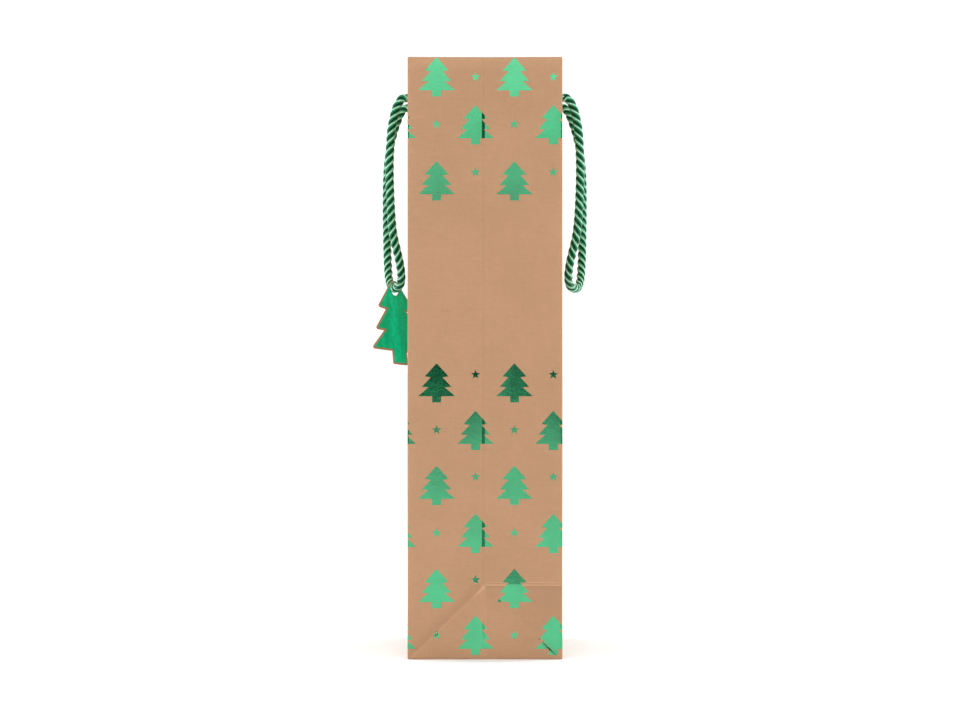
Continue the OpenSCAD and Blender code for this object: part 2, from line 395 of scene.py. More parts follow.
def ring(s, panel_inset, gusset_inset):
    """Places round the bag at stations s, on a rounded rectangle set in from the outside."""
    index, along = panel_of(s)
    width = np.array(PANELS)[index]
    half = np.array([(HALF_W, HALF_D)]) - np.stack([gusset_inset, panel_inset], axis=-1)
    radius = np.maximum(FOLD_R - (panel_inset + gusset_inset) / 2, 0.3)
    half_run = np.where(index % 2 == 0, half[:, 1], half[:, 0])
    half_off = np.where(index % 2 == 0, half[:, 0], half[:, 1])
    # flat is -1 to 1 along the straight part, and bend goes on from there half round a corner
    flat = (along - width / 2) / (width / 2 - FOLD_R)
    straight = np.clip(flat, -1, 1)
    bend = np.sign(flat) * np.clip((np.abs(along - width / 2) - (width / 2 - FOLD_R)) / FOLD_R, 0, 1)
    angle = bend * math.pi / 4
    run = straight * (half_run - radius) + radius * np.sin(angle)
    off = half_off - radius + radius * np.cos(angle)
    heading, inward = HEADINGS[index], INWARD[index]
    place = heading * run[:, None] - inward * off[:, None]
    normal = inward * np.cos(angle)[:, None] - heading * np.sin(angle)[:, None]
    return place, normal


def ramp_between(x, low, high):
    """A smooth rise from 0 at low to 1 at high."""
    t = np.clip((x - low) / (high - low), 0, 1)
    return t * t * (3 - 2 * t)


def arch(x, half_width):
    """A parabola: 1 in the middle and 0 at the half width and beyond."""
    return np.where(np.abs(x) < half_width, 1 - (x / half_width) ** 2, 0)


def crease_mark(distance, width):
    """1 on a crease, fading to nothing at about twice the width."""
    return np.exp(-(distance / width) ** 2)


def gusset_shape(y, z):
    """How far a gusset's paper is pushed in, y from its middle towards the back."""
    folded = GUSSET_PINCH * (1 - np.abs(y) / HALF_D)
    below = np.minimum(folded, np.where(z < BASE_FOLD_Z, GUSSET_PINCH * z / BASE_FOLD_Z, folded))
    tucked = 0.9 * (1 - np.clip(z / BASE_FOLD_Z, 0, 1)) * arch(y, HALF_D)
    return below + tucked + middle_step(y, z) + base_creases(y, z)


def middle_step(y, z):
    """The double crease down a gusset's middle: a narrow strip that slopes in towards the back."""
    down = np.clip((y - STRIP_FRONT) / (STRIP_BACK - STRIP_FRONT), 0, 1)
    behind = np.clip((y - STRIP_BACK) / (HALF_D - STRIP_BACK), 0, 1)
    return STRIP_STEP * down * (1 - behind) * ramp_between(z, 3, 8)


def off_diagonal(y, z):
    """Distance from the folds that run from a gusset's middle down to its corners; up is plus."""
    return (np.abs(y) * BASE_FOLD_Z / HALF_D - (BASE_FOLD_Z - z)) / math.sqrt(2)


def base_creases(y, z):
    """The raised level crease, and the diagonals that run from it down to the corners."""
    behind = ramp_between(y, -11, -6)
    rise = np.clip((BASE_FOLD_Z + 9 - z) / 9, 0, 1) * np.clip((z - BASE_FOLD_Z + 3) / 3, 0, 1)
    lower = ramp_between(z, 1, 6) * (z < BASE_FOLD_Z)
    above = off_diagonal(y, z)
    front_line = np.clip(above + 1, 0, 1) * np.clip((6 - above) / 6, 0, 1) * ramp_between(-y, 0, 5)
    back_line = crease_mark(above, 0.8) * (y > 0)
    return 0.6 * front_line * lower + 0.15 * back_line * lower - LEVEL_RISE * behind * rise


def crease_wear_and_shade(s, z):
    """How pale the paper is along its folds, partly worn and partly painted highlight, and the painted
    shade beside them, each from 0 to 1.
    """
    left, right = np.abs(s - LEFT_MIDDLE) < HALF_D, np.abs(s - RIGHT_MIDDLE) < HALF_D
    gusset = left | right
    y = np.where(right, s - RIGHT_MIDDLE, LEFT_MIDDLE - s)
    lower = gusset * (z < BASE_FOLD_Z)
    below = BASE_FOLD_Z - z
    above = off_diagonal(y, z)
    corner = np.abs(np.subtract.outer(s, CORNERS)).min(axis=-1)
    strip_edges = gusset * np.maximum(
        crease_mark(y - STRIP_FRONT, 0.3), crease_mark(y - STRIP_BACK, 0.3))
    strip = gusset * np.clip((y - STRIP_FRONT) / 0.3, 0, 1) * np.clip((STRIP_BACK - y) / 0.3, 0, 1)
    front_fold = 0.8 * ramp_between(y, -9, -3) * crease_mark(above + 0.5, 0.7)
    front_fold = lower * (y < 0) * np.maximum(front_fold, 0.15 * crease_mark(above + 0.7, 0.5))
    under_level = ramp_between(below, 0.5, 1.5) * ramp_between(-below, -22, -2)
    over_diagonal = ramp_between(above, -0.6, 0.6) * ramp_between(-above, -7, 0)
    # pale along the folds: partly worn fibres, partly painted highlight where the folds catch the light
    wear_and_highlight = [
        0.26 * crease_mark(corner, 0.7),
        0.05 * crease_mark(corner, 3),
        # the level crease and a fainter line above it, a painted highlight along the ridge
        0.95 * gusset * crease_mark(below, 0.25) * ramp_between(y, -3, 3),
        0.42 * gusset * crease_mark(below + 1.4, 0.35) * ramp_between(y, -1, 5),
        front_fold,
        0.2 * lower * strip_edges,
        0.04 * strip_edges,
        # the rim and the base's edge
        0.22 * crease_mark(BAG_H - z, 0.8),
        0.22 * crease_mark(z, 0.6)]
    # painted shade beside the folds, where the paper's slopes turn away from the light
    painted_shade = [
        # painted shade on the sloping strip between the double crease's lines
        0.14 * strip * (z > BASE_FOLD_Z),
        # painted shade between the two pale level lines, just under them, and fading out below
        0.9 * gusset * crease_mark(below + 0.65, 0.3) * ramp_between(y, -1, 3),
        lower * crease_mark(below - 1.1, 0.4) * ramp_between(y, -1, 2),
        0.32 * lower * ramp_between(y, -1, 2) * under_level,
        # painted shade over the front diagonal, and under the level crease towards the back
        0.55 * lower * ramp_between(-y, 1, 4) * over_diagonal,
        0.5 * lower * ramp_between(y, 8, 40) * ramp_between(-below, -36, -8)]
    return np.max(wear_and_highlight, axis=0), np.max(painted_shade, axis=0)


def waves(s, z):
    """A little unevenness of the paper, none at the corners, the rim and the base."""
    calm = ramp_between(np.abs(np.subtract.outer(s, CORNERS)).min(axis=-1), 1, 14)
    calm = calm * ramp_between(z, 5, 90) * ramp_between(BAG_H - z, 8, 50)
    rise = np.array([noise.noise((a / 45, b / 70, 3.7)) for a, b in zip(s, z)])
    return 0.35 * calm * rise


def push(s, z):
    """How far the outer paper lies in from the bag's plain box."""
    bow_z = np.sin(math.pi * np.clip((z - BASE_FOLD_Z) / (HEM_Z - 5 - BASE_FOLD_Z), 0, 1))
    front = FRONT_BOW * arch(s - FRONT_MIDDLE, HALF_W - 1) * bow_z
    back = BACK_BOW * arch(s - BACK_MIDDLE, HALF_W - 1) * bow_z
    left = np.where(np.abs(s - LEFT_MIDDLE) < HALF_D, gusset_shape(LEFT_MIDDLE - s, z), 0)
    right = np.where(np.abs(s - RIGHT_MIDDLE) < HALF_D, gusset_shape(s - RIGHT_MIDDLE, z), 0)
    return front + back + left + right + waves(s, z)


def on_paper(s, z, depth=0.0):
    """Points on the outer paper at stations s and heights z, a depth into it."""
    s, z = np.asarray(s, float), np.asarray(z, float)
    place, normal = ring(s, np.zeros(s.shape), np.zeros(s.shape))
    place = place + normal * (push(s, z) + depth)[:, None]
    return np.column_stack([place, z])


# ---------------------------------------------------------------- the folded sheet
def strip_lines():
    """Distances from a gusset's middle where the mesh follows the strip between its creases."""
    return [edge + d for edge in (STRIP_FRONT, STRIP_BACK) for d in (-0.3, 0, 0.3)]


def stations():
    """The columns of the sheet's mesh: even, and close together at the folds."""
    columns = set()
    for start, width in zip(CORNERS, PANELS):
        step = 1.1 if width == BAG_D else 3
        columns |= set(np.round(np.arange(start, start + width, step), 3))
    for corner in CORNERS:
        columns |= {corner + d for d in (-1.6, -0.8, -0.55, -0.28, 0, 0.28, 0.55, 0.8, 1.6)}
    for y in strip_lines():
        columns |= {RIGHT_MIDDLE + y, LEFT_MIDDLE - y}
    ordered = sorted(c for c in columns if 0 <= c <= SHEET_W)
    kept = [ordered[0]]
    for column in ordered[1:]:
        if column - kept[-1] > 0.15:
            kept.append(column)
    return np.array(kept)


def wall_heights():
    """The rows of the sheet's mesh up the walls, close together at the level crease."""
    fine = np.arange(1.5, BASE_FOLD_Z - 2, 1.1)
    crease = BASE_FOLD_Z + np.linspace(-2, 2, 21)
    coarse = np.arange(BASE_FOLD_Z + 4, BAG_H - 3, 5)
    return np.array(sorted(set(np.round(np.concatenate([fine, crease, coarse]), 3))))


CORNER_EASE = 1.6                           # how far from a corner its panel and gusset blend


def sheet_profile(face_t):
    """Steps up the wall, over the rim and down the hem: (inset, height) for a panel and a gusset.
    face_t is 0 for the sheet's printed face and its thickness for the other."""
    rows = []
    r = LIP - face_t
    for k in range(5):
        angle = math.pi / 2 * k / 4
        step = (LIP - r * math.sin(angle), LIP - r * math.cos(angle))
        rows.append((step, step))
    rows += [((face_t, z), (face_t, z)) for z in wall_heights()]
    rims = (WALL_T / 2, PAPER_T + 0.03)     # radius of the rim's turn on a panel and on a gusset
    for k in range(9):
        angle = math.pi * k / 8
        rows.append(tuple(
            (rim - (rim - face_t) * math.cos(angle), BAG_H - rim + (rim - face_t) * math.sin(angle))
            for rim in rims))
    for z in np.linspace(BAG_H - 4, HEM_Z, 10):
        rows.append(tuple((2 * rim - face_t, z) for rim in rims))
    return np.array(rows)                   # rows x (panel, gusset) x (inset, height)


def sheet_face(columns, face_t):
    """One face of the folded sheet as a grid of points, and its fold marks: wear with painted highlight,
    and painted shade.
    """
    index, _ = panel_of(columns)
    corner = np.abs(np.subtract.outer(columns, CORNERS)).min(axis=-1)
    on_panel = index % 2 == 1
    away = np.clip(corner / CORNER_EASE, 0, 1)
    panel_share = np.where(on_panel, 0.5 + 0.5 * away, 0.5 - 0.5 * away)
    grid, wear_and_shade_rows = [], []
    for (panel_d, panel_z), (gusset_d, gusset_z) in sheet_profile(face_t):
        depth = panel_share * panel_d + (1 - panel_share) * gusset_d
        z = panel_share * panel_z + (1 - panel_share) * gusset_z
        insets = [np.full(len(columns), min(d, CORNER_EASE)) for d in (panel_d, gusset_d)]
        place, normal = ring(columns, *insets)
        set_in = np.where(on_panel, depth - panel_d, depth - gusset_d) * (corner < CORNER_EASE)
        place = place + normal * (push(columns, z) + set_in)[:, None]
        grid.append(np.column_stack([place, z]))
        wear_and_shade_rows.append(crease_wear_and_shade(columns, z))
    return np.array(grid), np.array(wear_and_shade_rows)


SEAM_GAP = 0.02


def make_sheet(material):
    """The bag's paper: one folded sheet with the thickness of paper, open at the seam."""
    columns = stations()
    columns[0] += SEAM_GAP / 2
    columns[-1] -= SEAM_GAP / 2
    printed, wear_and_shade = sheet_face(columns, 0)
    plain, wear_and_shade_inside = sheet_face(columns, PAPER_T)
    rows, cols = printed.shape[:2]
    count = rows * cols
    points = np.concatenate([printed.reshape(-1, 3), plain.reshape(-1, 3)])
    faces = []
    for r in range(rows - 1):
        for c in range(cols - 1):
            a = r * cols + c
            faces.append((a, a + 1, a + cols + 1, a + cols))
            faces.append((count + a, count + a + cols, count + a + cols + 1, count + a + 1))
    for c in range(cols - 1):
        low, high = c, (rows - 1) * cols + c
        faces.append((low + 1, low, count + low, count + low + 1))
        faces.append((high, high + 1, count + high + 1, count + high))
    for r in range(rows - 1):
        first, last = r * cols, r * cols + cols - 1
        faces.append((first, first + cols, count + first + cols, count + first))
        faces.append((last + cols, last, count + last, count + last + cols))
    sheet = mesh_object("bag_paper", points, faces, material)
    # the folds' pale marks, part wear and part painted highlight, and the painted shade beside them
    for k, name in enumerate(("crease_wear_and_highlight", "painted_crease_shade")):
        mark_points(sheet, name, np.concatenate([wear_and_shade[:, k].ravel(), wear_and_shade_inside[:, k].ravel()]))
    return sheet


def punch_holes(obj):
    """Cuts the four cord holes with two long round cutters."""
    cutters = []
    for side in (-1, 1):
        bpy.ops.mesh.primitive_cylinder_add(
            vertices=48, radius=HOLE_D / 2 * MM, depth=BAG_D * 1.5 * MM,
            location=(side * HOLE_X * MM, 0, HOLE_Z * MM), rotation=(math.pi / 2, 0, 0))
        cutter = bpy.context.object
        cutters.append(cutter)
        modifier = obj.modifiers.new("hole", "BOOLEAN")
        modifier.object = cutter
        modifier.solver = "EXACT"
    apply_modifiers(obj)
    for cutter in cutters:
        bpy.data.objects.remove(cutter)


def apply_modifiers(obj):
    """Makes the modifiers' result the object's own mesh."""
    ready = obj.evaluated_get(bpy.context.evaluated_depsgraph_get())
    mesh = bpy.data.meshes.new_from_object(ready)
    obj.modifiers.clear()
    old, obj.data = obj.data, mesh
    bpy.data.meshes.remove(old)


# ---------------------------------------------------------------- the foil print
TREE_HALF = [                               # half a fir of height 1, from its tip down
    (0.012, -0.01), (0.304, -0.335), (0.15, -0.357), (0.379, -0.604), (0.205, -0.612),
    (0.47, -0.841), (0.114, -0.845), (0.114, -1)]
TREE_H = 22.7
STAR_R = 2.8
STAR_WAIST = 0.42                           # of a star's radius
FOIL_T = 0.05
COLUMN_STEP = 45.2                          # between two trees of a row
SEAM_MARGIN = 0.2                           # print stops this far from the seam
MISSING_STAR = (RIGHT_MIDDLE + 39.7, 46.2)  # the one place of the pattern where none is printed
FIRST_COLUMN = RIGHT_MIDDLE - 28.1
# Rows of print: the trees' tips, their column shift, and how far below the tips the stars lie.
PRINT_ROWS = [
    (BAG_H - 0.3, 0, 11.4), (BAG_H - 28.1, 1, 11), (BAG_H - 60.7, 0, 6.3),
    (172, 0, 6.6), (144.3, 1, 11), (112.4, 0, 6.4), (84.5, 1, 11), (52.5, 0, 6.3), (25.3, 1, 11.3)]


def arc(centre, radius, start, end, parts):
    """Points on a round, from one angle to another in radians."""
    angles = [start + (end - start) * k / parts for k in range(parts + 1)]
    return [(centre[0] + radius * math.cos(a), centre[1] + radius * math.sin(a)) for a in angles]


def circle(centre, radius, parts=40):
    """A closed round outline, its last point one step short of its first."""
    return arc(centre, radius, 0, 2 * math.pi * (parts - 1) / parts, parts - 1)


def tree_outline(height):
    half = [(x * height, y * height) for x, y in TREE_HALF]
    return half + [(-x, y) for x, y in reversed(half)]


def star_outline(radius):
    points = []
    for k in range(10):
        r = radius if k % 2 == 0 else radius * STAR_WAIST
        points.append((r * math.sin(math.pi * k / 5), r * math.cos(math.pi * k / 5)))
    return points


def inside(points, outline):
    """Which of the points lie inside a closed outline."""
    x, y = points[:, 0], points[:, 1]
    hit = np.zeros(len(points), bool)
    for (x0, y0), (x1, y1) in zip(outline, outline[1:] + outline[:1]):
        crosses = (y0 > y) != (y1 > y)
        with np.errstate(divide="ignore", invalid="ignore"):
            hit ^= crosses & (x < (x1 - x0) * (y - y0) / (y1 - y0) + x0)
    return hit


def on_line(line, step, low, high):
    """Points every step along a line, those inside a box."""
    (x0, y0), (x1, y1) = line
    parts = max(1, math.ceil(math.hypot(x1 - x0, y1 - y0) / step))
    points = [(x0 + (x1 - x0) * k / parts, y0 + (y1 - y0) * k / parts) for k in range(parts + 1)]
    return [p for p in points if low[0] < p[0] < high[0] and low[1] < p[1] < high[1]]


def filled(outline, holes=(), folds=(), step=2.0):
    """Triangles that fill an outline but not its holes, with edges along the fold lines."""
    points, edges = [], []
    for loop in (outline, *holes):
        start = len(points)
        for (x0, y0), (x1, y1) in zip(loop, loop[1:] + loop[:1]):
            parts = max(1, math.ceil(math.hypot(x1 - x0, y1 - y0) / step))
            points += [(x0 + (x1 - x0) * k / parts, y0 + (y1 - y0) * k / parts) for k in range(parts)]
        edges += [(k, k + 1) for k in range(start, len(points) - 1)] + [(len(points) - 1, start)]
    low, high = np.min(outline, axis=0), np.max(outline, axis=0)
    for fold in folds:
        line = on_line(fold, step, low - 1.5 * step, high + 1.5 * step)
        edges += [(len(points) + k, len(points) + k + 1) for k in range(len(line) - 1)]
        points += line
    inner = np.array([
        (x + (row % 2) * step / 2, y)
        for row, y in enumerate(np.arange(low[1], high[1], step * 0.87))
        for x in np.arange(low[0], high[0], step)])
    clear = inside(inner, outline)
    for loop in holes:
        clear &= ~inside(inner, loop)
    nodes = np.array(points)
    gaps = np.sqrt(((inner[:, None] - nodes[None]) ** 2).sum(-1)).min(1)
    points += [tuple(p) for p in inner[clear & (gaps > step * 0.45)]]
    made = geometry.delaunay_2d_cdt([Vector(p) for p in points], edges, [], 0, 1e-5)
    flat = np.array([tuple(v) for v in made[0]])
    triangles = np.array(made[2])
    middles = flat[triangles].mean(axis=1)
    keep = inside(middles, outline)
    for loop in holes:
        keep &= ~inside(middles, loop)
    return trimmed(flat, triangles[keep])


def trimmed(flat, triangles):
    """The points that the triangles use, and the triangles on them."""
    used, triangles = np.unique(triangles, return_inverse=True)
    return flat[used], triangles.reshape(-1, 3)


def thin_solid(top, bottom, triangles):
    """A closed skin from two layers of the same flat mesh."""
    n = len(top)
    around = {}
    for a, b, c in triangles:
        for edge in ((a, b), (b, c), (c, a)):
            around[edge] = around.get(edge, 0) + 1
    rim = [(a, b) for a, b in around if (b, a) not in around]
    faces = [tuple(int(v) for v in t) for t in triangles]
    faces += [tuple(int(v) + n for v in reversed(t)) for t in triangles]
    faces += [(int(b), int(a), int(a) + n, int(b) + n) for a, b in rim]
    return np.concatenate([top, bottom]), faces


def fold_lines():
    """Lines on the sheet along which print has to bend with the paper."""
    upright = [corner + d for corner in CORNERS for d in (-1.6, -0.8, -0.4, 0, 0.4, 0.8, 1.6)]
    for y in strip_lines():
        upright += [RIGHT_MIDDLE + y, LEFT_MIDDLE - y]
    lines = [((s, -1), (s, BAG_H)) for s in upright]
    for middle in (LEFT_MIDDLE, RIGHT_MIDDLE):
        for d in np.linspace(-1.6, 1.6, 9):
            lines.append(((middle - HALF_D, BASE_FOLD_Z + d), (middle + HALF_D, BASE_FOLD_Z + d)))
        for side in (-1, 1):
            for d in (-0.8, 0, 0.8):
                lines.append(((middle, BASE_FOLD_Z + d), (middle + side * HALF_D, d)))
    return lines


def cord_holes_near(s, z):
    """The outlines on the sheet of the cord holes that a piece of print may overlap."""
    centres = [
        (middle + side * HOLE_X, HOLE_Z)
        for middle in (FRONT_MIDDLE, BACK_MIDDLE) for side in (-1, 1)]
    return [circle(c, HOLE_D / 2) for c in centres if math.dist(c, (s, z)) < TREE_H + HOLE_D]


def make_print(name, outline, places, material):
    """Foil pieces of one outline at the given (station, height) places, cut at holes and seam."""
    all_points, all_faces, count = [], [], 0
    lines = fold_lines()
    for s, z in places:
        flat, triangles = filled([(s + x, z + y) for x, y in outline], cord_holes_near(s, z), lines, 1.5)
        middle = flat[triangles].mean(axis=1)[:, 0]
        triangles = triangles[(middle > SEAM_MARGIN) & (middle < SHEET_W - SEAM_MARGIN)]
        if not len(triangles):
            continue
        flat, triangles = trimmed(flat, triangles)
        top = on_paper(flat[:, 0], flat[:, 1], -FOIL_T)
        bottom = on_paper(flat[:, 0], flat[:, 1], PAPER_T / 3)
        points, faces = thin_solid(top, bottom, triangles)
        all_points.append(points)
        all_faces += [tuple(v + count for v in f) for f in faces]
        count += len(points)
    return mesh_object(name, np.concatenate(all_points), all_faces, material, sharp=40)


def print_places():
    """Where the trees and the stars of the pattern lie on the sheet."""
    trees, stars = [], []
    first = FIRST_COLUMN - COLUMN_STEP * math.ceil((FIRST_COLUMN + 12) / COLUMN_STEP)
    columns = np.arange(first, SHEET_W + 12, COLUMN_STEP / 2)
    for tip, shift, drop in PRINT_ROWS:
        for k, s in enumerate(columns):
            if k % 2 == shift:
                trees.append((s, tip))
            else:
                stars.append((s, tip - drop))
    on_sheet = [
        (s, z) for s, z in stars
        if 2 < s < SHEET_W - 2 and math.dist((s, z), MISSING_STAR) > COLUMN_STEP / 4]
    return [(s, z) for s, z in trees if -10 < s < SHEET_W + 10], on_sheet


# ---------------------------------------------------------------- twisted cord
# The front cord's route from hole to hole: (across, out from the panel, down from the holes).
CORD_ROUTE = [
    (30, 3.5, 0), (30, 4.9, 1.3), (30, 6.5, 3.8), (30, 7.9, 7.3), (30, 9, 11.8),
    (30, 10.2, 18), (30, 10.9, 26), (29.5, 11.4, 37), (29, 11.4, 49), (28, 11, 61),
    (26.5, 10.4, 72), (24.5, 9.3, 81.5), (22, 7.4, 90), (19, 5.8, 97.5), (15, 5, 104.5),
    (10, 5.8, 109.6), (5, 7.6, 111.6), (0, 9.6, 112), (-5, 11.2, 111.4), (-10, 12.5, 109),
    (-14.5, 13.5, 104.5), (-18.5, 14.1, 98), (-22, 14.6, 89.5), (-25, 14.9, 79.5), (-27.5, 15.2, 68),
    (-29, 15.3, 55.5), (-30, 15.1, 43), (-30, 14.2, 31.5), (-30, 12.8, 22), (-30, 10.9, 14.5),
    (-30, 9.1, 9.1), (-30, 7.4, 4.6), (-30, 5.4, 1.4), (-30, 3.5, 0)]
LAY = 14.5                                  # length of one full turn of a strand
YARN_LAY = 9.0                              # length of one full turn of the fibres in a strand
CROWN_LEAN = 0.25                           # how far round a strand its painted highlight line lies, in radians
STRAND_SHARE = 0.265                        # a strand's radius to the cord's diameter
STRAND_SIDES = 20


def smooth_line(points, step=0.5, soften=3):
    """A smooth line through the points, with a point every step."""
    p = np.array(points, float)
    padded = np.vstack([2 * p[0] - p[1], p, 2 * p[-1] - p[-2]])
    line = []
    for p0, p1, p2, p3 in zip(padded, padded[1:], padded[2:], padded[3:]):
        parts = max(2, math.ceil(np.linalg.norm(p2 - p1) / step))
        for t in np.arange(parts) / parts:
            line.append(0.5 * (2 * p1 + (p2 - p0) * t + (2 * p0 - 5 * p1 + 4 * p2 - p3) * t**2
                               + (3 * p1 - p0 - 3 * p2 + p3) * t**3))
    line = np.array(line + [p[-1]])
    for _ in range(soften):
        line[1:-1] = (line[:-2] + 2 * line[1:-1] + line[2:]) / 4
    return line


def frames_along(line):
    """At each point: the way along, and two axes across that don't turn about it."""
    along = np.gradient(line, axis=0)
    along /= np.linalg.norm(along, axis=1)[:, None]
    side = np.cross(along[0], (0.3, 0.2, 1))
    across = []
    for t in along:
        side = side - (side @ t) * t
        side = side / np.linalg.norm(side)
        across.append(side)
    across = np.array(across)
    return along, across, np.cross(along, across)


def make_rope(name, line, diameter, hand, material, splay=0.0):
    """Three strands laid round a line; hand is 1 or -1. splay opens the far end, in mm."""
    strand_r = diameter * STRAND_SHARE
    helix_r = diameter / 2 - strand_r
    sides = STRAND_SIDES
    along, across, over = frames_along(line)
    walked = np.concatenate([[0], np.cumsum(np.linalg.norm(np.diff(line, axis=0), axis=1))])
    opening = splay * np.clip((walked - walked[-1] + 5) / 5, 0, 1) ** 2
    around = 2 * math.pi * np.arange(sides) / sides
    points, faces, yarn, groove_shade, crown_highlight = [], [], [], [], []
    for strand in range(3):
        turn = hand * 2 * math.pi * walked / LAY + strand * 2 * math.pi / 3
        out = across * np.cos(turn)[:, None] + over * np.sin(turn)[:, None]
        centre = line + out * (helix_r + opening)[:, None]
        way = np.gradient(centre, axis=0)
        way /= np.linalg.norm(way, axis=1)[:, None]
        out = out - (out * way).sum(1)[:, None] * way
        out /= np.linalg.norm(out, axis=1)[:, None]
        beside = np.cross(way, out)
        start = len(points)
        for i in range(len(line)):
            girth = np.cos(around)[:, None] * out[i] + np.sin(around)[:, None] * beside[i]
            points += list(centre[i] + strand_r * girth)
            wound = around - hand * 2 * math.pi * walked[i] / YARN_LAY
            yarn += [(7 * math.cos(a), 7 * math.sin(a), walked[i] * 0.5 + 20 * strand) for a in wound]
            # painted shade in the grooves: darker where the strand's surface turns away from the outside
            groove_shade += list(np.clip((0.82 - np.cos(around)) / 0.5, 0, 1))
            # painted highlight: a narrow pale line along each strand's crown, leaned round it a little
            crown_highlight += list(np.clip((np.cos(around - CROWN_LEAN * hand) - 0.94) / 0.06, 0, 1))
        for i in range(len(line) - 1):
            for k in range(sides):
                a, b = start + i * sides + k, start + i * sides + (k + 1) % sides
                faces.append((a, b, b + sides, a + sides))
        faces.append(tuple(start + k for k in reversed(range(sides))))
        faces.append(tuple(start + (len(line) - 1) * sides + k for k in range(sides)))
    rope = mesh_object(name, points, faces, material)
    mark_points(rope, "groove_shade", groove_shade)
    mark_points(rope, "crown_highlight", crown_highlight)
    mark_points(rope, "yarn", yarn)
    return rope


def cord_line(front=True):
    """The centreline of a handle's cord, from the middle of one wall hole to the other's."""
    facing = -1 if front else 1
    route = [(x, facing * (HALF_D + out), HOLE_Z - down) for x, out, down in CORD_ROUTE]
    inner = facing * (HALF_D - WALL_T)
    outer = facing * (HALF_D + 0.8)
    ends = [[(side * HOLE_X, inner, HOLE_Z), (side * HOLE_X, outer, HOLE_Z)] for side in (1, -1)]
    return smooth_line(ends[0] + route + ends[1][::-1])


def make_handle(name, front, material):
    """A handle's cord along its route from hole to hole; and its centreline."""
    line = cord_line(front)
    hand = 1 if front else -1
    rope = make_rope(name, line, CORD_D, hand, material)
    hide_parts("front_cord" if front else "back_cord")
    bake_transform(rope)
    return rope, line


KNOT_UNIT = 2.0                             # mm
KNOT_WAIST = 1.6                            # in units
KNOT_OFF_WALL = 7.6                         # from the wall to the knot's middle
KNOT_LEAN = 0.6                             # radians
KNOT_CORD = 0.92                            # its cord's thickness to the handle's
KNOT_SPLAY = 1.3                            # mm that its tail's strands stand apart


def knot_loop():
    """The middle of an overhand knot: two and a bit turns of a trefoil, in its own units."""
    turns = np.linspace(0.5, 2 * math.pi - 0.5, 40)
    around = KNOT_WAIST + np.cos(3 * turns)
    return np.column_stack([around * np.cos(2 * turns), around * np.sin(2 * turns), np.sin(3 * turns)])


def make_knot(name, node, front, side, material):
    """An overhand knot behind the wall, with a short tail."""
    facing = -1 if front else 1
    wall = HALF_D - WALL_T
    lift = -(KNOT_WAIST + 1) * KNOT_UNIT    # brings the standing part level with the hole
    lean = KNOT_LEAN * side
    route = [(0, -3.0, 0), (0, 0.5, 0)]     # (across, in from the wall, up from the hole)
    for x, y, z in knot_loop() * KNOT_UNIT:
        x += lift
        across = x * math.cos(lean) - z * math.sin(lean)
        up = x * math.sin(lean) + z * math.cos(lean)
        route.append((across, y + KNOT_OFF_WALL, up))
    end = np.array(route[-1])
    for tail in ((0.3 * side, 2.0, -1.2), (0.5 * side, 3.2, -5), (0.4 * side, 3.4, -11)):
        route.append(tuple(end + tail))
    points = [(side * HOLE_X + x, facing * (wall - y), HOLE_Z + z) for x, y, z in route]
    line = smooth_line(points, step=0.6, soften=6)
    hand = 1 if front else -1
    knot = make_rope(name, line, CORD_D * KNOT_CORD, hand, material, splay=KNOT_SPLAY)
    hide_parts(node)
    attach(knot, "bag")


# ---------------------------------------------------------------- flaps and tag
def plate(name, outline, material, place, thickness, holes=(), folds=(), step=2.0):
    """A thin closed plate: place turns (flat points, depth) into points of the bag's frame."""
    flat, triangles = filled(outline, holes, folds, step)
    points, faces = thin_solid(place(flat, 0.0), place(flat, thickness), triangles)
    return mesh_object(name, points, faces, material, sharp=40)


FLAP_PAST_MIDDLE = 8                        # how far each base flap reaches past the middle
FLAP_STEP = (-9.6, -9, -8.3)                # where the front one steps up off the back one


def make_base_flap(name, node, facing, material):
    """A flap of the block bottom; the front one steps up where the back one is glued over it."""
    half_x, wall_y = HALF_W - LIP, HALF_D - LIP
    free_y = -facing * FLAP_PAST_MIDDLE
    low_y, high_y = sorted((facing * wall_y, free_y))
    outline = [(-half_x, low_y), (half_x, low_y), (half_x, high_y), (-half_x, high_y)]

    def place(flat, depth):
        over = ramp_between(flat[:, 1], FLAP_STEP[0], FLAP_STEP[-1]) if facing < 0 else 0 * flat[:, 1]
        return np.column_stack([flat, PAPER_T * over + depth])

    step_lines = [((-HALF_W, y), (HALF_W, y)) for y in FLAP_STEP]
    flap = plate(name, outline, material, place, PAPER_T, folds=step_lines, step=4)
    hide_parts(node)
    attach(flap, "bag")


def make_seam_flap(material):
    """The side seam's glue flap: it comes round the corner from the back and lies on the gusset."""
    low, high = BOARD_TOP + 0.5, HEM_Z - 0.5
    width, root, taper = 16, -2, 6
    outline = [(root, low), (width, low + taper), (width, high - taper), (root, high)]
    folds = [((s, low - 1), (s, high + 1)) for s in (-0.8, -0.4, 0, 0.4, 0.8)]

    def place(flat, depth):
        return on_paper(np.mod(flat[:, 0], SHEET_W), flat[:, 1], PAPER_T + 0.03 + depth)

    flap = plate("seam_glue_flap", outline, material, place, PAPER_T, folds=folds, step=3)
    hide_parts("seam_flap")
    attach(flap, "bag")


TAG_TREE_H = 51
TAG_BORDER = 1.1
TAG_T = 0.5
TAG_HOLE_R = 4
TAG_TIP = 5.8                               # from the tag's hole up to the printed tree's tip
TAG_DROP = 0.3                              # from the cord's middle down to the hole's
TAG_PLACE = (0, -54.6, 217)                 # the cord's middle where the tag hangs
TAG_TURN = (-4, -9, 54)                     # degrees, from a tag that faces +X


